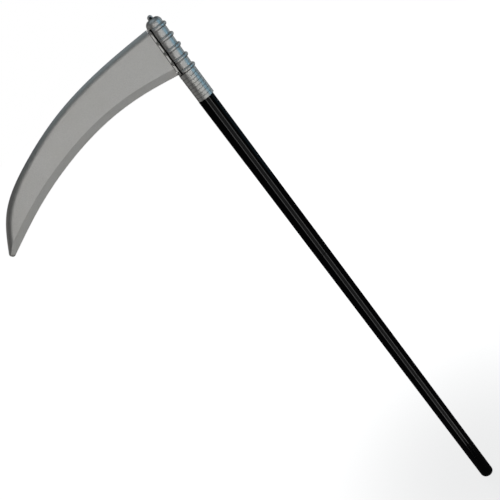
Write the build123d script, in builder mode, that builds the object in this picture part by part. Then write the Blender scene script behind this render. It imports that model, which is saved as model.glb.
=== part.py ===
from build123d import *
import os
from math import cos, radians, sin

os.makedirs("parts", exist_ok=True)

# A costume scythe: a plastic pole in three push-together sections, with a hollow moulded blade on a ringed collar.
# Millimetres. The pole stands along +Z with the centre of its butt at the origin. The blade reaches towards -X
# and is thin along Y.

# ---- Pole ----
pole_radius = 12.5
bore_radius = 11.0
section_length = 307.5
pole_length = 3 * section_length
edge_break = 0.4

# Each joint is a ribbed plug, fixed in the lower piece and pushed into the socket of the piece above it.
running_gap = 0.05
rib_pitch = 5.6
rib_count = 7
rib_depth = 0.4
rib_half = 1.4
first_rib = 3.6
spigot_rise = 43.0
spigot_shank = 30.0
spigot_wall = 2.0
spigot_lead = 1.2
flange_radius = 12.0
flange_thickness = 0.6

# The thin wall of a socket bulges a little over each rib inside it.
ripple_height = 0.14
ripple_half = 1.9

cap_height = 4.0
cap_shank = 22.0
cap_rounding = 3.0
cap_lead = 0.8

# ---- Head: the grooved sleeve sits a little off the pole's line, and the barrel above it leans back ----
sleeve_offset = 1.25
sleeve_radius = 13.35
sleeve_length = 44.0
groove_count = 7
groove_pitch = 5.35
first_groove = 5.3
groove_half = 0.8
groove_depth = 0.25
# How far a cut is carried past the surface that it opens.
overcut = 5.0
barrel_offset = 0.9
barrel_lean = 1.45
barrel_radius = 11.8
barrel_bore = 7.6
barrel_start = 42.0
socket_depth = 44.5
bore_top = 110.0
ring_radius = 14.8
ring_half = 3.1
ring_pitch = 16.3
ring_count = 5
first_ring = 46.9
# Over the blade's root the rings are cut back to the face of the web.
trim_low = 44.8
trim_high = 116.4
dome_base = 115.5
dome_swell = (12.2, 118.2)
dome_shoulder = (10.1, 123.4)
dome_top = (4.6, 126.0)
ball_radius = 4.0
ball_height = 127.3
ball_seat = 4.3
dimple_radius = 1.7
dimple_web = 0.8
dimple_rise = 0.3
stem_radius = 1.8
stem_length = 12.0

# ---- Blade ----
blade_half = 5.0
root_distance = 14.2
spine_width = 9.0
spine_drop = 3.2
bevel_width = 10.8
bevel_drop = 3.9
cavity_half = 3.2
web_half = 5.3
web_reach = 13.4
web_foot = 50.5
# The web's top, behind the highest ring, is thinner.
web_shoulder = 112.0
web_top_half = 3.2
# A deep channel on each side parts the web's outer strip, and the ends of the rings, from the barrel.
channel_inner = 8.6
channel_outer = 10.9
channel_floor = 2.4
tongue_half = 1.6
tongue_reach = 4.2
tongue_low = 54.0
tongue_high = 110.0
pin_radius = 1.5
pin_boss_radius = 3.4
pin_length = 2.6
pin_places = [(-46, 86), (-112, 84), (-178, 74), (-240, 54)]
rib_thickness = 1.4
rib_places = [(-79, 60), (-145, 60), (-209, 60), (-268, 60)]
# Longer than the hollow is wide.
rib_length = 200.0

lean = radians(barrel_lean)
barrel_up = (sin(lean), 0, cos(lean))
barrel_across = (cos(lean), 0, -sin(lean))
barrel_origin = (barrel_offset, 0, pole_length)
blade_plane = Plane(origin=barrel_origin, x_dir=barrel_across, z_dir=(0, -1, 0))
barrel_axis = Axis(barrel_origin, barrel_up)

joint_heights = [section_length, 2 * section_length, 3 * section_length]


def finish(part, label):
    """Names a finished piece and writes it."""
    part.label = label
    export_step(part, f"parts/{label}.step")


# ---- The three pole sections: tubes whose lower ends are sockets ----
tube_names = ["lower_tube", "middle_tube", "upper_tube"]
tube_bottoms = [cap_height, joint_heights[0], joint_heights[1]]

for tube_name, tube_bottom, joint_height in zip(tube_names, tube_bottoms, joint_heights):
    tube_top = joint_height - flange_thickness
    ripples = 0 if tube_name == "lower_tube" else rib_count
    with BuildPart() as tube:
        with BuildSketch(Plane.XZ):
            with BuildLine():
                corner = (pole_radius, tube_bottom + edge_break)
                Polyline((bore_radius, tube_bottom), (pole_radius - edge_break, tube_bottom), corner)
                for i in range(ripples):
                    crest = tube_bottom + first_rib + rib_pitch * i
                    ripple_start = (pole_radius, crest - ripple_half)
                    ripple_end = (pole_radius, crest + ripple_half)
                    Line(corner, ripple_start)
                    ThreePointArc(ripple_start, (pole_radius + ripple_height, crest), ripple_end)
                    corner = ripple_end
                Polyline(corner, (pole_radius, tube_top - edge_break), (pole_radius - edge_break, tube_top),
                         (bore_radius, tube_top), (bore_radius, tube_bottom))
            make_face()
        revolve(axis=Axis.Z)
    finish(tube.part, tube_name)

# ---- The plugs that join them, and the one that the head pushes onto ----
spigot_names = ["lower_spigot", "middle_spigot", "head_spigot"]
rib_crest = bore_radius - running_gap
rib_root = rib_crest - rib_depth

for spigot_name, joint_height in zip(spigot_names, joint_heights):
    flange_bottom = joint_height - flange_thickness
    with BuildPart() as spigot:
        with BuildSketch(Plane.XZ):
            with BuildLine():
                Polyline((rib_root - spigot_wall, flange_bottom - spigot_shank),
                         (bore_radius, flange_bottom - spigot_shank),
                         (bore_radius, flange_bottom), (flange_radius, flange_bottom),
                         (flange_radius, joint_height), (rib_root, joint_height))
                corner = (rib_root, joint_height)
                for i in range(rib_count):
                    crest = joint_height + first_rib + rib_pitch * i
                    rib_start = (rib_root, crest - rib_half)
                    rib_end = (rib_root, crest + rib_half)
                    Line(corner, rib_start)
                    ThreePointArc(rib_start, (rib_crest, crest), rib_end)
                    corner = rib_end
                spigot_top = joint_height + spigot_rise
                Polyline(corner, (rib_root, spigot_top - spigot_lead), (rib_root - spigot_lead, spigot_top),
                         (rib_root - spigot_wall, spigot_top),
                         (rib_root - spigot_wall, flange_bottom - spigot_shank))
            make_face()
        revolve(axis=Axis.Z)
    finish(spigot.part, spigot_name)

# ---- The cap that closes the foot of the pole ----
with BuildPart() as butt_cap:
    with BuildSketch(Plane.XY):
        Circle(pole_radius)
    extrude(amount=cap_height)
    fillet(butt_cap.edges().group_by(Axis.Z)[0], radius=cap_rounding)
    with BuildSketch(Plane.XY.offset(cap_height)):
        Circle(bore_radius)
        Circle(bore_radius - spigot_wall, mode=Mode.SUBTRACT)
    extrude(amount=cap_shank)
    chamfer(butt_cap.faces().sort_by(Axis.Z)[-1].outer_wire().edges(), length=cap_lead)
finish(butt_cap.part, "butt_cap")

# ---- The collar: sleeve, barrel with its rings, web for the blade's root, and the domed top ----
with BuildPart() as collar:
    with BuildSketch(blade_plane):
        with BuildLine():
            Polyline((0, barrel_start), (barrel_radius, barrel_start), (barrel_radius, dome_base), dome_swell)
            ThreePointArc(dome_swell, dome_shoulder, dome_top)
            Polyline(dome_top, (0, dome_top[1]), (0, barrel_start))
        make_face()
    revolve(axis=barrel_axis)
    with BuildSketch(blade_plane):
        for i in range(ring_count):
            with Locations((ring_radius - ring_half, first_ring + ring_pitch * i)):
                Circle(ring_half)
            with Locations((ring_radius - 1.5 * ring_half, first_ring + ring_pitch * i)):
                Rectangle(ring_half, 2 * ring_half)
    revolve(axis=barrel_axis)
    with BuildSketch(Plane.XY.offset(pole_length)):
        with Locations((sleeve_offset, 0)):
            Circle(sleeve_radius)
    extrude(amount=sleeve_length)
    with BuildSketch(blade_plane):
        with Locations((-web_reach / 2, (web_foot + web_shoulder) / 2)):
            Rectangle(web_reach, web_shoulder - web_foot)
    extrude(amount=web_half, both=True)
    with BuildSketch(blade_plane):
        with Locations((-web_reach / 2, (web_foot + dome_swell[1]) / 2)):
            Rectangle(web_reach, dome_swell[1] - web_foot)
    extrude(amount=web_top_half, both=True)
    with BuildSketch(blade_plane):
        with Locations((-web_reach - overcut / 2, (trim_low + trim_high) / 2)):
            Rectangle(overcut, trim_high - trim_low)
    extrude(amount=blade_half, both=True, mode=Mode.SUBTRACT)
    # The channels on both sides of the web.
    for side in (1, -1):
        with BuildSketch(blade_plane.offset(side * channel_floor)):
            with Locations((-(channel_inner + channel_outer) / 2, (trim_low + trim_high) / 2)):
                Rectangle(channel_outer - channel_inner, trim_high - trim_low)
        extrude(amount=side * ring_radius, mode=Mode.SUBTRACT)
    # The V grooves round the sleeve.
    with BuildSketch(Plane.XZ):
        for i in range(groove_count):
            middle = pole_length + first_groove + groove_pitch * i
            surface = sleeve_offset + sleeve_radius
            with BuildLine():
                Polyline((surface - groove_depth, middle), (surface, middle + groove_half),
                         (surface + overcut, middle + groove_half), (surface + overcut, middle - groove_half),
                         (surface, middle - groove_half), (surface - groove_depth, middle))
            make_face()
    revolve(axis=Axis((sleeve_offset, 0, 0), (0, 0, 1)), mode=Mode.SUBTRACT)
    with BuildSketch(Plane.XY.offset(pole_length)):
        Circle(bore_radius)
    extrude(amount=socket_depth, mode=Mode.SUBTRACT)
    with BuildSketch(blade_plane):
        with Locations((barrel_bore / 2, (barrel_start + bore_top) / 2)):
            Rectangle(barrel_bore, bore_top - barrel_start)
    revolve(axis=barrel_axis, mode=Mode.SUBTRACT)
    with BuildSketch(blade_plane):
        with Locations((tongue_reach / 2 - root_distance, (tongue_low + tongue_high) / 2)):
            Rectangle(tongue_reach, tongue_high - tongue_low)
    extrude(amount=tongue_half, both=True, mode=Mode.SUBTRACT)
    with BuildSketch(blade_plane):
        with Locations((0, ball_height)):
            Circle(ball_seat)
        with Locations((0, ball_height - stem_length / 2)):
            Rectangle(2 * stem_radius, stem_length)
        split(bisect_by=Plane.YZ, keep=Keep.TOP)
    revolve(axis=barrel_axis, mode=Mode.SUBTRACT)
finish(collar.part, "collar")

# ---- The ball on top: on a stem set into the dome, with a deep dimple in its front and back ----
with BuildPart() as finial_ball:
    with BuildSketch(blade_plane):
        with Locations((0, ball_height)):
            Circle(ball_radius)
        with Locations((0, ball_height - stem_length / 2)):
            Rectangle(2 * stem_radius, stem_length)
        split(bisect_by=Plane.YZ, keep=Keep.TOP)
    revolve(axis=barrel_axis)
    for side in (1, -1):
        with BuildSketch(blade_plane.offset(side * dimple_web)):
            with Locations((0, ball_height + dimple_rise)):
                Circle(dimple_radius)
        extrude(amount=side * ball_radius, mode=Mode.SUBTRACT)
finish(finial_ball.part, "finial_ball")


# ---- The blade: two moulded halves that meet on the blade's middle plane ----
# Points are distances across and along the barrel from the middle of the collar's rim.
root_top = (-root_distance, 118.4)
root_foot = (-root_distance, 46.3)
tip_high = (-357.4, -6.5)
tip_low = (-351.5, -13.2)
tip_round = (-355.9, -12.6)
past_tip = (-385, -29.0)
back_edge = [tip_high, (-320, 40.2), (-255, 77.1), (-175, 103.0), (-90, 115.2), root_top]
cutting_edge = [root_foot, (-70, 54.0), (-130, 54.7), (-196, 44.7), (-274, 21.3), tip_low]
hollow_back = [(-304, 33), (-245, 65), (-172, 90), (-90, 102), (-26, 105)]
hollow_front = [(-290, 29), (-236, 48), (-180, 61.5), (-110, 68.5), (-26, 62)]
above_blade = root_top[1] + 60

for side, shell_name in ((1, "blade_front_shell"), (-1, "blade_back_shell")):
    outermost = 0 if side == 1 else -1
    # Everything inside the back edge, with the back edge sloped off.
    with BuildPart() as back_side:
        with BuildSketch(blade_plane):
            with BuildLine():
                Spline(back_edge)
                Polyline(root_top, (root_top[0], past_tip[1]), (tip_high[0], past_tip[1]), tip_high)
            make_face()
        extrude(amount=side * blade_half)
        flat = back_side.faces().filter_by(Axis.Y).sort_by(Axis.Y)[outermost]
        chamfer(flat.edges().filter_by(GeomType.BSPLINE), length=spine_width, length2=spine_drop, reference=flat)
    # Everything outside the cutting edge, with its bevel.
    with BuildPart() as cutting_side:
        with BuildSketch(blade_plane):
            with BuildLine():
                Spline(cutting_edge + [past_tip])
                Polyline(past_tip, (past_tip[0], above_blade), (root_foot[0], above_blade), root_foot)
            make_face()
        extrude(amount=side * blade_half)
        flat = cutting_side.faces().filter_by(Axis.Y).sort_by(Axis.Y)[outermost]
        chamfer(flat.edges().filter_by(GeomType.BSPLINE), length=bevel_width, length2=bevel_drop, reference=flat)
    with BuildPart() as shell:
        add(back_side.part)
        add(cutting_side.part, mode=Mode.INTERSECT)
        # The rounded tip.
        with BuildSketch(blade_plane):
            with BuildLine():
                ThreePointArc(tip_high, tip_round, tip_low)
                Polyline(tip_low, (tip_low[0], past_tip[1]), past_tip, (past_tip[0], tip_high[1]), tip_high)
            make_face()
        extrude(amount=side * blade_half, mode=Mode.SUBTRACT)
        # The hollow, with ribs and pin bosses left standing to the middle plane.
        with BuildSketch(blade_plane):
            with BuildLine():
                Spline(hollow_back)
                Spline(hollow_front)
                Line(hollow_back[0], hollow_front[0])
                Line(hollow_back[-1], hollow_front[-1])
            make_face()
            with Locations(*pin_places):
                Circle(pin_boss_radius, mode=Mode.SUBTRACT)
            with Locations(*rib_places):
                Rectangle(rib_thickness, rib_length, mode=Mode.SUBTRACT)
        extrude(amount=side * cavity_half, mode=Mode.SUBTRACT)
        # The tongue that goes into the collar's slot.
        with BuildSketch(blade_plane):
            with Locations((tongue_reach / 2 - root_distance, (tongue_low + tongue_high) / 2)):
                Rectangle(tongue_reach, tongue_high - tongue_low)
        extrude(amount=side * tongue_half)
        # Locating pins stand on the back half and enter holes in the front half.
        with BuildSketch(blade_plane):
            with Locations(*pin_places):
                Circle(pin_radius if side == -1 else pin_radius + running_gap)
        extrude(amount=pin_length, mode=Mode.ADD if side == -1 else Mode.SUBTRACT)
    finish(shell.part, shell_name)
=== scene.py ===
"""Looks of the costume scythe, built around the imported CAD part.

The pole stands along +Z with its butt on the floor, and the blade reaches towards -X.
Lengths are in millimetres up to the point where a mesh is made, and in metres from there on.
"""
import math

import bmesh
import bpy
import numpy as np
from mathutils import Matrix, Vector


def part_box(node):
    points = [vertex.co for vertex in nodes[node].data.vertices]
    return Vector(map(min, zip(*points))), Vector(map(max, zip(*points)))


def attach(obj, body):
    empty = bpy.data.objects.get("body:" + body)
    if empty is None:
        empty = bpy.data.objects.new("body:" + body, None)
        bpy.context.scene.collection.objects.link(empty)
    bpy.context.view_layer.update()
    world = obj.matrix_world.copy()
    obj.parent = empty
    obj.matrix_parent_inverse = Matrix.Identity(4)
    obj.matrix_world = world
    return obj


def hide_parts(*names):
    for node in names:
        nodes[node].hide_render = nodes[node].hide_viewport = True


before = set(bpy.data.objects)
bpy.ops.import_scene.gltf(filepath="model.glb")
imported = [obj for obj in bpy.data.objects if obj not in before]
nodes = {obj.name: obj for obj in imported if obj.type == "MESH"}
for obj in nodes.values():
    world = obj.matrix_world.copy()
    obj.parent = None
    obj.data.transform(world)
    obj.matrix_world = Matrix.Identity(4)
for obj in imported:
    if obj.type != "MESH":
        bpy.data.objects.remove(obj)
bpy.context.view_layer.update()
MM = 0.001

# ---------------------------------------------------------------- sizes shared with the CAD part
pole_radius = 12.5
bore_radius = 11.0
rib_pitch = 5.6
rib_count = 7
first_rib = 3.6
ripple_height = 0.14
ripple_half = 1.9
barrel_offset = 0.9
barrel_lean = math.radians(1.45)
ball_radius = 4.0
ball_height = 127.3
dimple_radius = 1.7
dimple_web = 0.8
first_groove = 5.3
groove_pitch = 5.35
groove_half = 0.8
flange_thickness = 0.6
root_distance = 14.2
blade_half = 5.0

pole_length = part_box("upper_tube")[1].z / MM + flange_thickness
barrel_up = np.array([math.sin(barrel_lean), 0.0, math.cos(barrel_lean)])
barrel_across = np.array([math.cos(barrel_lean), 0.0, -math.sin(barrel_lean)])
barrel_origin = np.array([barrel_offset, 0.0, pole_length])


# ---------------------------------------------------------------- mesh helpers
def make_object(name, points, faces, smooth_angle=38.0):
    """A closed mesh object from points in millimetres."""
    mesh = bpy.data.meshes.new(name)
    mesh.from_pydata([tuple(p) for p in np.asarray(points, float) * MM], [], faces)
    bm = bmesh.new()
    bm.from_mesh(mesh)
    bmesh.ops.remove_doubles(bm, verts=bm.verts, dist=1e-6)
    bmesh.ops.dissolve_degenerate(bm, edges=bm.edges, dist=1e-7)
    bmesh.ops.recalc_face_normals(bm, faces=bm.faces)
    bm.to_mesh(mesh)
    bm.free()
    mesh.shade_smooth()
    mesh.set_sharp_from_angle(angle=math.radians(smooth_angle))
    piece = bpy.data.objects.new(name, mesh)
    bpy.context.scene.collection.objects.link(piece)
    return piece


def rounded(corners, steps=5):
    """An outline through (r, h, fillet) corners, each corner with its fillet as a short curve."""
    outline = []
    count = len(corners)
    for i, (r, h, fillet) in enumerate(corners):
        here = np.array([r, h], float)
        if fillet <= 0:
            outline.append(here)
            continue
        before = np.array(corners[i - 1][:2], float) - here
        after = np.array(corners[(i + 1) % count][:2], float) - here
        reach = min(fillet, 0.49 * np.linalg.norm(before), 0.49 * np.linalg.norm(after))
        start = here + before / np.linalg.norm(before) * reach
        end = here + after / np.linalg.norm(after) * reach
        for k in range(steps + 1):
            t = k / steps
            outline.append((1 - t) ** 2 * start + 2 * t * (1 - t) * here + t**2 * end)
    return outline


def turned(name, outline, origin, axis, closed=True, segments=160):
    """A solid of revolution. A closed outline goes round the wall, an open one starts and ends on the axis."""
    axis = np.asarray(axis, float)
    side = np.cross(axis, [0.0, 1.0, 0.0] if abs(axis[1]) < 0.9 else [1.0, 0.0, 0.0])
    side /= np.linalg.norm(side)
    third = np.cross(axis, side)
    angles = np.arange(segments) * 2 * math.pi / segments
    ring = np.outer(np.cos(angles), side) + np.outer(np.sin(angles), third)
    points, rows = [], []
    for r, h in outline:
        centre = np.asarray(origin) + axis * h
        rows.append((len(points), r > 1e-6))
        points.extend(centre + ring * r if r > 1e-6 else [centre])
    faces = []
    last = len(rows) if closed else len(rows) - 1
    for i in range(last):
        (a, a_ring), (b, b_ring) = rows[i], rows[(i + 1) % len(rows)]
        for k in range(segments):
            m = (k + 1) % segments
            if a_ring and b_ring:
                faces.append((a + k, a + m, b + m, b + k))
            elif a_ring:
                faces.append((a + k, a + m, b))
            elif b_ring:
                faces.append((a, b + m, b + k))
    return make_object(name, points, faces)


# ---------------------------------------------------------------- the pole
def tube(name, body, rippled):
    """One pole section: a thin tube, with a faint ripple over each rib of the plug in its lower end."""
    low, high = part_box(name)
    bottom, top = low.z / MM, high.z / MM
    corners = [(bore_radius, bottom, 0.25), (pole_radius, bottom, 0.45)]
    if rippled:
        for i in range(rib_count):
            crest = bottom + first_rib + rib_pitch * i
            for k in range(-4, 5):
                lift = ripple_height * (0.5 + 0.5 * math.cos(math.pi * k / 4))
                corners.append((pole_radius + lift, crest + ripple_half * k / 4, 0))
    corners += [(pole_radius, top, 0.45), (bore_radius, top, 0.25)]
    piece = turned(f"{name}_shell", rounded(corners), (0, 0, 0), (0, 0, 1))
    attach(piece, body)
    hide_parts(name)
    return piece


tubes = [tube("lower_tube", "lower_section", False),
         tube("middle_tube", "middle_section", True),
         tube("upper_tube", "upper_section", True)]

cap = turned("butt_cap_plug", rounded([
    (0, 0, 0), (pole_radius, 0, 3.4), (pole_radius, 4.0, 0.35), (bore_radius, 4.0, 0.1), (bore_radius, 25.4, 0.6),
    (bore_radius - 2.0, 26.0, 0.4), (bore_radius - 2.0, 4.6, 0.8), (0, 4.0, 0)], steps=8),
    (0, 0, 0), (0, 0, 1), closed=False)
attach(cap, "lower_section")
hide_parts("butt_cap")


# ---------------------------------------------------------------- the blade
def spline(knots, steps):
    """A natural cubic spline through the knots, by chord length, as evenly spaced points."""
    knots = np.asarray(knots, float)
    t = np.concatenate([[0], np.cumsum(np.linalg.norm(np.diff(knots, axis=0), axis=1))])
    n = len(knots)
    gap = np.diff(t)
    system = np.eye(n)
    known = np.zeros((n, 2))
    for i in range(1, n - 1):
        system[i, i - 1 : i + 2] = gap[i - 1], 2 * (gap[i - 1] + gap[i]), gap[i]
        known[i] = 6 * ((knots[i + 1] - knots[i]) / gap[i] - (knots[i] - knots[i - 1]) / gap[i - 1])
    curve = np.linalg.solve(system, known)
    at = np.linspace(0, t[-1], steps)
    i = np.clip(np.searchsorted(t, at, side="right") - 1, 0, n - 2)
    a, b, g = (t[i + 1] - at)[:, None], (at - t[i])[:, None], gap[i][:, None]
    return (
        curve[i] * a**3 / (6 * g) + curve[i + 1] * b**3 / (6 * g)
        + (knots[i] / g - curve[i] * g / 6) * a + (knots[i + 1] / g - curve[i + 1] * g / 6) * b
    )


# Points are distances across and along the barrel from the middle of the collar's rim.
back_edge = [(-root_distance, 118.4), (-90, 115.2), (-175, 103.0), (-255, 77.1), (-320, 40.2), (-357.4, -6.5)]
cutting_edge = [(-root_distance, 46.3), (-70, 54.0), (-130, 54.7), (-196, 44.7), (-274, 21.3), (-351.5, -13.2)]
tip_point = (-356.0, -12.7)
edge_half = 1.1
bevel_width = 10.8
spine_width = 9.8
spine_edge = 0.7
stations = 200


def cut_height(d):
    """Half-thickness at distance d from the cutting edge."""
    return min(blade_half, edge_half + (blade_half - edge_half) * d / bevel_width)


def spine_height(d):
    """Half-thickness at distance d from the rounded back edge."""
    return blade_half - (blade_half - spine_edge) * max(0.0, 1 - d / spine_width) ** 2.0


def crossing(width):
    """Distance from the cutting edge at which the bevel meets the rounded back, on a narrow stretch."""
    low, high = 0.0, width
    for _ in range(40):
        middle = (low + high) / 2
        if cut_height(middle) < spine_height(width - middle):
            low = middle
        else:
            high = middle
    return low


def round_tip(edge, towards):
    """Carries an edge round the tip to its last point."""
    end, stop = edge[-1], np.array(towards)
    lead = edge[-1] - edge[-2]
    corner = end + lead / np.linalg.norm(lead) * 0.55 * np.linalg.norm(stop - end)
    t = np.linspace(0, 1, 9)[1:, None]
    return np.vstack([edge, (1 - t) ** 2 * end + 2 * t * (1 - t) * corner + t**2 * stop])


def blade_shell(name, node, side):
    """One moulded half: bevel, flat face and rounded back on the outside, flat on the parting plane."""
    cut = round_tip(spline(cutting_edge, stations), tip_point)
    back = round_tip(spline(back_edge, stations), tip_point)
    bevel_steps = np.array([0.02, 0.06, 0.2, 0.4, 0.6, 0.8, 0.93, 1.0])
    face_steps = np.array([0.015, 0.08, 0.25, 0.5, 0.75, 0.92, 1.0])
    spine_steps = np.array([0.92, 0.83, 0.74, 0.65, 0.56, 0.47, 0.38, 0.3, 0.22, 0.15, 0.09, 0.045, 0.015])
    points = []
    for s in range(len(cut) - 1):
        across = back[s] - cut[s]
        width = np.linalg.norm(across)
        across /= width
        shrink = min(1.0, width / 9.0)
        meet = crossing(width)
        ridge = min(bevel_width, meet)
        spine = min(spine_width, width - meet)
        row = [(0.15 * shrink, 0.0), (0.0, 0.18 * shrink), (0.0, 0.75 * shrink)]
        row += [(ridge * k, cut_height(ridge * k) * shrink) for k in bevel_steps]
        flat = max(0.0, width - ridge - spine)
        top = min(cut_height(ridge), spine_height(spine))
        row += [(ridge + flat * k, top * shrink) for k in face_steps]
        row += [(width - spine * k, spine_height(spine * k) * shrink) for k in spine_steps]
        row += [(width, 0.42 * shrink), (width, 0.18 * shrink), (width - 0.15 * shrink, 0.0)]
        count = len(row)
        for d, h in row:
            x, z = cut[s] + across * d
            points.append((x, h, z))
    faces = []
    rows = len(cut) - 1
    for s in range(rows - 1):
        for k in range(count):
            m = (k + 1) % count
            faces.append((s * count + k, s * count + m, (s + 1) * count + m, (s + 1) * count + k))
    faces.append(tuple(range(count)))
    faces.append(tuple(reversed(range((rows - 1) * count, rows * count))))
    placed = [barrel_origin + barrel_across * x + barrel_up * z + np.array([0, -side * h, 0]) for x, h, z in points]
    piece = make_object(name, placed, faces, smooth_angle=14.0)
    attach(piece, "head")
    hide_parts(node)
    return piece


blade_pieces = [blade_shell("blade_front_half", "blade_front_shell", 1),
                blade_shell("blade_back_half", "blade_back_shell", -1)]

# ---------------------------------------------------------------- the ball on top
ball_centre = barrel_origin + barrel_up * ball_height
lip = math.sqrt(ball_radius**2 - dimple_radius**2)
ball_outline = [(0, dimple_web), (dimple_radius * 0.75, dimple_web), (dimple_radius, dimple_web + 0.4)]
ball_outline += [(dimple_radius, lip - 0.25)]
lip_angle = math.atan2(dimple_radius + 0.25, lip)
for k in range(33):
    turn = lip_angle + (math.pi - 2 * lip_angle) * k / 32
    ball_outline.append((ball_radius * math.sin(turn), ball_radius * math.cos(turn)))
ball_outline += [(r, -h) for r, h in reversed(ball_outline[:4])]
ball = turned("finial_bead", ball_outline, ball_centre, (0, -1, 0), closed=False, segments=72)
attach(ball, "head")
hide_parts("finial_ball")


# ---------------------------------------------------------------- materials
class Surface:
    """A procedural material round one Principled shader. Texture scales are per metre of the object."""

    def __init__(self, name, **values):
        self.material = bpy.data.materials.new(name)
        self.material.use_nodes = True
        self.tree = self.material.node_tree
        self.shader = self.tree.nodes["Principled BSDF"]
        self.place = self.tree.nodes.new("ShaderNodeTexCoord").outputs["Object"]
        for key, value in values.items():
            self.shader.inputs[key.replace("_", " ")].default_value = value

    def noise(self, scale, detail=2.0, stretch=(1, 1, 1), rough=0.5):
        mapping = self.tree.nodes.new("ShaderNodeMapping")
        mapping.inputs["Scale"].default_value = stretch
        self.tree.links.new(self.place, mapping.inputs["Vector"])
        texture = self.tree.nodes.new("ShaderNodeTexNoise")
        texture.inputs["Scale"].default_value = scale
        texture.inputs["Detail"].default_value = detail
        texture.inputs["Roughness"].default_value = rough
        self.tree.links.new(mapping.outputs["Vector"], texture.inputs["Vector"])
        return texture.outputs["Fac"]

    def fit(self, value, low, high, to_low=0.0, to_high=1.0):
        node = self.tree.nodes.new("ShaderNodeMapRange")
        for key, number in zip(("From Min", "From Max", "To Min", "To Max"), (low, high, to_low, to_high)):
            node.inputs[key].default_value = number
        self.tree.links.new(value, node.inputs["Value"])
        return node.outputs["Result"]

    def crevice(self, reach, shut, open_):
        """1 in the corners and grooves that have little open space within the reach (mm), and 0 in the open: the
        mask for painted shade.
        """
        node = self.tree.nodes.new("ShaderNodeAmbientOcclusion")
        node.samples = 12
        node.inputs["Distance"].default_value = reach * MM
        return self.fit(node.outputs["AO"], shut, open_, 1.0, 0.0)

    def inside(self, centre, radius):
        """1 within a distance of the line along Y through the centre, and 0 outside."""
        away = self.tree.nodes.new("ShaderNodeVectorMath")
        away.operation = "SUBTRACT"
        self.tree.links.new(self.place, away.inputs[0])
        away.inputs[1].default_value = centre
        flat = self.tree.nodes.new("ShaderNodeVectorMath")
        flat.operation = "MULTIPLY"
        self.tree.links.new(away.outputs["Vector"], flat.inputs[0])
        flat.inputs[1].default_value = (1, 0, 1)
        length = self.tree.nodes.new("ShaderNodeVectorMath")
        length.operation = "LENGTH"
        self.tree.links.new(flat.outputs["Vector"], length.inputs[0])
        return self.fit(length.outputs["Value"], radius * 0.96, radius, 1.0, 0.0)

    def math(self, operation, first, second=0.0):
        node = self.tree.nodes.new("ShaderNodeMath")
        node.operation = operation
        self.tree.links.new(first, node.inputs[0])
        if hasattr(second, "is_output"):
            self.tree.links.new(second, node.inputs[1])
        else:
            node.inputs[1].default_value = second
        return node.outputs["Value"]

    def groove_lines(self, first, pitch, half, top):
        """1 in the sleeve's grooves, a pitch apart upwards from the first, and 0 between them and above the top."""
        split = self.tree.nodes.new("ShaderNodeSeparateXYZ")
        self.tree.links.new(self.place, split.inputs[0])
        height = split.outputs["Z"]
        turns = self.math("DIVIDE", self.math("SUBTRACT", height, first), pitch)
        off = self.math("ABSOLUTE", self.math("SUBTRACT", self.math("FRACT", self.math("ADD", turns, 0.5)), 0.5))
        line = self.fit(off, 0.2 * half / pitch, half / pitch, 1.0, 0.0)
        return self.math("MULTIPLY", line, self.math("LESS_THAN", height, top))

    def mix(self, factor, first, second):
        node = self.tree.nodes.new("ShaderNodeMix")
        node.data_type = "RGBA"
        for socket, value in ((0, factor), (6, first), (7, second)):
            if hasattr(value, "is_output"):
                self.tree.links.new(value, node.inputs[socket])
            else:
                node.inputs[socket].default_value = value
        return node.outputs[2]

    def set(self, key, value):
        self.tree.links.new(value, self.shader.inputs[key])

    def bump(self, *layers):
        """Stacked bumps, each (height, strength, distance in millimetres)."""
        normal = None
        for height, strength, distance in layers:
            node = self.tree.nodes.new("ShaderNodeBump")
            node.inputs["Strength"].default_value = strength
            node.inputs["Distance"].default_value = distance * MM
            self.tree.links.new(height, node.inputs["Height"])
            if normal:
                self.tree.links.new(normal, node.inputs["Normal"])
            normal = node.outputs["Normal"]
        self.set("Normal", normal)


# Painted shade: near-black colours for corners and crevices, for the sleeve's grooves and for the inside of the
# bead's dimple.
painted_crevice_shade = (0.01, 0.01, 0.01, 1)
painted_groove_shade = (0.02, 0.02, 0.02, 1)
painted_groove_shade_share = 0.3
painted_hollow_shade = (0.004, 0.004, 0.004, 1)


def silver(name, grain, speckle, tone, metallic=0.93, hollow=None, grooves=None):
    """Silver-coated moulded plastic: satin, with fine flake, faint flow marks and a fine grain.

    Corners and crevices are darkened with painted shade. A hollow is (centre, radius) of a round recess along Y
    whose inside is painted near black as shade. Grooves are (first, pitch, half-width, top) of the sleeve's grooves,
    in metres, each painted with a line of shade.
    """
    surface = Surface(name, Metallic=metallic, Specular_IOR_Level=0.4)
    flow = surface.fit(surface.noise(28, 3, (1, 1, 0.6)), 0.3, 0.7)
    flake = surface.fit(surface.noise(1500, 1), 0.38, 0.62)
    dark = tuple(c * (1 - speckle) for c in tone) + (1,)
    light = tuple(min(1, c * (1 + speckle)) for c in tone) + (1,)
    base = surface.mix(flake, dark, light)
    warm = (tone[0] * 0.97, tone[1] * 0.965, tone[2] * 0.94, 1)
    colour = surface.mix(surface.fit(flow, 0, 1, 0, 0.6), base, warm)
    # Painted shade: corners and crevices are darkened towards near black through an ambient-occlusion mask.
    colour = surface.mix(surface.crevice(7.0, 0.42, 0.72), colour, painted_crevice_shade)
    # Painted shade: a dark line is painted along each of the sleeve's grooves, placed by height.
    if grooves:
        lines = surface.math("MULTIPLY", surface.groove_lines(*grooves), painted_groove_shade_share)
        colour = surface.mix(lines, colour, painted_groove_shade)
    # Painted shade: the inside of the bead's dimple is painted near black.
    if hollow:
        centre, radius = hollow
        colour = surface.mix(surface.inside(centre, radius), colour, painted_hollow_shade)
    surface.set("Base Color", colour)
    surface.set("Roughness", surface.fit(surface.noise(160, 4), 0.25, 0.75, 0.4, 0.5))
    surface.bump((surface.noise(2300, 2), 0.25, grain), (surface.noise(90, 2), 0.12, 0.12))
    return surface.material


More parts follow.
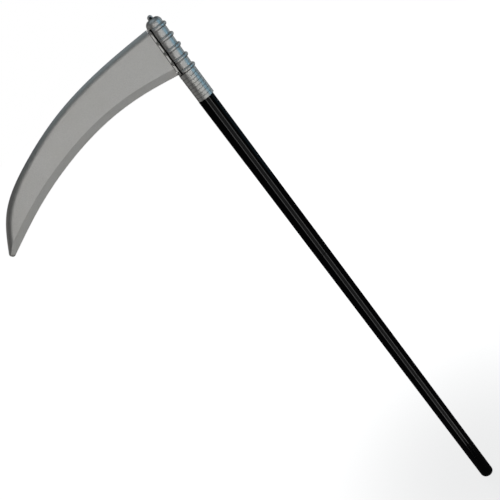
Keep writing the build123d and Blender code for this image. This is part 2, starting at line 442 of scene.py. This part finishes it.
def gloss_black(name):
    """Black extruded tube: a high polish with draw lines along it, dust and hairline scratches."""
    surface = Surface(name, Specular_IOR_Level=0.5)
    draw = surface.noise(420, 3, (1, 1, 0.02))
    dust = surface.fit(surface.noise(700, 4, (1, 1, 0.5)), 0.55, 0.8)
    surface.set("Base Color", surface.mix(dust, (0.0006, 0.0006, 0.0009, 1), (0.0016, 0.0016, 0.0022, 1)))
    worn = surface.fit(surface.noise(14, 3), 0.35, 0.7)
    surface.set("Roughness", surface.fit(worn, 0, 1, 0.07, 0.14))
    surface.bump((draw, 0.1, 0.02), (surface.noise(60, 2, (1, 1, 0.3)), 0.1, 0.05))
    return surface.material


def satin_black(name):
    """Black moulded plastic of the plugs and the cap: satin, with a fine spark-eroded grain."""
    surface = Surface(name, Specular_IOR_Level=0.45)
    cloud = surface.fit(surface.noise(60, 3), 0.3, 0.7)
    surface.set("Base Color", surface.mix(cloud, (0.006, 0.006, 0.0065, 1), (0.012, 0.012, 0.0125, 1)))
    surface.set("Roughness", surface.fit(surface.noise(300, 3), 0.3, 0.7, 0.34, 0.46))
    surface.bump((surface.noise(1600, 2), 0.2, 0.05))
    return surface.material


blade_material = silver("blade_silver_plastic", 0.05, 0.06, (0.725, 0.715, 0.69))
# The painted shade lines stop just above the highest groove, below the sleeve's own top.
grooves_top = 41.0
collar_origin = nodes["collar"].matrix_world.translation.z
sleeve_foot = pole_length * MM - collar_origin
head_material = silver("head_silver_plastic", 0.03, 0.03, (0.79, 0.785, 0.76), grooves=(
    sleeve_foot + first_groove * MM, groove_pitch * MM, groove_half * MM, sleeve_foot + grooves_top * MM))
# The bead's dimple gets painted shade inside.
bead_material = silver("bead_silver_plastic", 0.02, 0.03, (0.9, 0.9, 0.88), metallic=0.4,
                       hollow=(Vector(ball_centre) * MM, dimple_radius * MM))
pole_material = gloss_black("pole_gloss_black")
plug_material = satin_black("plug_satin_black")


def dress(piece, material):
    piece.data.materials.clear()
    piece.data.materials.append(material)


for piece in blade_pieces:
    dress(piece, blade_material)
for piece in tubes:
    dress(piece, pole_material)
dress(cap, plug_material)
dress(ball, bead_material)


def dress_node(name, material):
    """A CAD node that stays gets its material in its own slots."""
    for slot in nodes[name].material_slots:
        slot.material = material


dress_node("collar", head_material)
spigot_names = ("lower_spigot", "middle_spigot", "head_spigot")
for name in spigot_names:
    dress_node(name, plug_material)

# ---------------------------------------------------------------- camera
look_down = math.radians(23.359)
roll = math.radians(39.108)
forward = Vector((0, math.cos(look_down), -math.sin(look_down)))
level_up = Vector((0, math.sin(look_down), math.cos(look_down)))
level_right = Vector((1, 0, 0))
up = math.cos(roll) * level_up + math.sin(roll) * level_right
right = math.cos(roll) * level_right - math.sin(roll) * level_up
camera_data = bpy.data.cameras.new("camera")
camera_data.sensor_width = 36
camera_data.lens = 46.08
camera = bpy.data.objects.new("camera", camera_data)
camera_place = (-0.0879, -0.91568, 1.09099)
camera.matrix_world = Matrix.Translation(camera_place) @ Matrix((right, up, -forward)).transposed().to_4x4()
bpy.context.scene.collection.objects.link(camera)
bpy.context.scene.camera = camera

# ---------------------------------------------------------------- stage and light
bpy.context.scene.view_settings.view_transform = "Standard"


stage_radius = 14.0


def pale(name, diffuse, glow, painted_shadow_glow=None):
    """Pale studio paper with a light of its own, so that it stays even; less of that light at the object's foot, as
    a painted contact shadow.
    """
    material = bpy.data.materials.new(name)
    material.use_nodes = True
    tree = material.node_tree
    shader = tree.nodes["Principled BSDF"]
    shader.inputs["Base Color"].default_value = (diffuse, diffuse, diffuse, 1)
    shader.inputs["Roughness"].default_value = 1.0
    shader.inputs["Specular IOR Level"].default_value = 0.0
    shader.inputs["Emission Color"].default_value = (1, 1, 1, 1)
    shader.inputs["Emission Strength"].default_value = glow
    # Painted shadow: the glow drops near the object's foot, a soft contact shadow painted into the floor.
    if painted_shadow_glow is not None:
        place = tree.nodes.new("ShaderNodeTexCoord")
        length = tree.nodes.new("ShaderNodeVectorMath")
        length.operation = "LENGTH"
        painted_shadow_fade = tree.nodes.new("ShaderNodeMapRange")
        painted_shadow_fade.interpolation_type = "SMOOTHSTEP"
        for key, number in (("From Min", 0.03), ("From Max", 0.5), ("To Min", painted_shadow_glow), ("To Max", glow)):
            painted_shadow_fade.inputs[key].default_value = number
        tree.links.new(place.outputs["Object"], length.inputs[0])
        tree.links.new(length.outputs["Value"], painted_shadow_fade.inputs["Value"])
        tree.links.new(painted_shadow_fade.outputs["Result"], shader.inputs["Emission Strength"])
    return material


def stage_piece(name, build, material):
    mesh = bpy.data.meshes.new(name)
    bm = bmesh.new()
    build(bm)
    bm.to_mesh(mesh)
    bm.free()
    piece = bpy.data.objects.new(name, mesh)
    bpy.context.scene.collection.objects.link(piece)
    mesh.materials.append(material)
    piece.visible_glossy = False
    piece.visible_diffuse = False
    piece.visible_shadow = False
    return piece


stage_piece("floor", lambda bm: bmesh.ops.create_circle(bm, cap_ends=True, segments=96, radius=stage_radius),
            pale("floor_paper", 0.5, 1.0, 0.8))
stage_piece("backdrop", lambda bm: bmesh.ops.create_uvsphere(bm, u_segments=48, v_segments=24, radius=stage_radius),
            pale("backdrop_paper", 0.0, 1.0))


def light_group(name, pieces):
    """Pieces that a light can be kept to."""
    group = bpy.data.collections.new(name)
    for piece in pieces:
        group.objects.link(piece)
    return group


# The pole's polish shows only the panels in front, which reach lower for it than for the silver pieces.
silver_pieces = light_group("silver_pieces", blade_pieces + [ball, nodes["collar"]])
black_pieces = light_group("black_pieces", tubes + [cap] + [nodes[name] for name in spigot_names])


def panel(name, azimuth, distance, width, bottom, top, radiance, colour=(1, 1, 1), only=None):
    """An upright soft light that faces the pole. Azimuth 0 is in front (-Y), and 90 on the +X side."""
    a = math.radians(azimuth)
    outward = Vector((math.sin(a), -math.cos(a), 0))
    lamp_at(name, outward * distance + Vector((0, 0, (bottom + top) / 2)), outward, width, top - bottom,
            radiance, colour, only)


def lamp_at(name, place, outward, width, height, radiance, colour=(1, 1, 1), only=None):
    """A rectangular soft light of an even radiance, shining against its outward direction."""
    light = bpy.data.lights.new(name, "AREA")
    light.shape = "RECTANGLE"
    light.size, light.size_y = width, height
    light.energy = radiance * math.pi * width * height
    light.color = colour
    lamp = bpy.data.objects.new(name, light)
    lamp.location = place
    lamp.rotation_mode = "QUATERNION"
    lamp.rotation_quaternion = Vector(outward).to_track_quat("Z", "Y")
    lamp.visible_camera = False
    if only:
        lamp.light_linking.receiver_collection = only
    bpy.context.scene.collection.objects.link(lamp)


panel("front_left", -21, 2.4, 0.42, -2.0, 2.2, 1.3, only=silver_pieces)
panel("front_middle", 4, 2.5, 1.5, -2.0, 2.2, 0.5, only=silver_pieces)
panel("front_right", 28, 2.4, 0.42, -2.0, 2.2, 1.3, only=silver_pieces)
panel("pole_left", -22, 2.4, 0.4, -2.7, 2.2, 1.5, only=black_pieces)
panel("pole_middle", 4, 2.5, 1.4, -2.7, 2.2, 0.22, only=black_pieces)
panel("pole_right", 29, 2.4, 0.4, -2.7, 2.2, 1.5, only=black_pieces)
cool = (0.36, 0.74, 1.0)
panel("cool_gleam", 92, 2.5, 2.0, 0.0, 2.4, 0.1, cool)
panel("cool_side", 62, 2.4, 0.7, -0.6, 2.4, 1.1, cool, silver_pieces)
panel("right_fill", 118, 2.4, 1.4, -0.6, 2.4, 0.4, (0.92, 0.97, 1.0), silver_pieces)
panel("left_fill", -100, 2.4, 2.0, -0.6, 3.4, 0.2, (1, 1, 1), silver_pieces)
lamp_at("cool_top", (0, -0.4, 3.4), (0, -0.1, 1), 2.4, 2.4, 0.36, (0.75, 0.9, 1.0))
panel("back_fill", 180, 2.6, 2.4, -0.5, 2.4, 0.6)

world = bpy.data.worlds.new("studio")
bpy.context.scene.world = world
world.use_nodes = True
world.node_tree.nodes["Background"].inputs["Color"].default_value = (0.02, 0.02, 0.021, 1)
world.node_tree.nodes["Background"].inputs["Strength"].default_value = 1.0
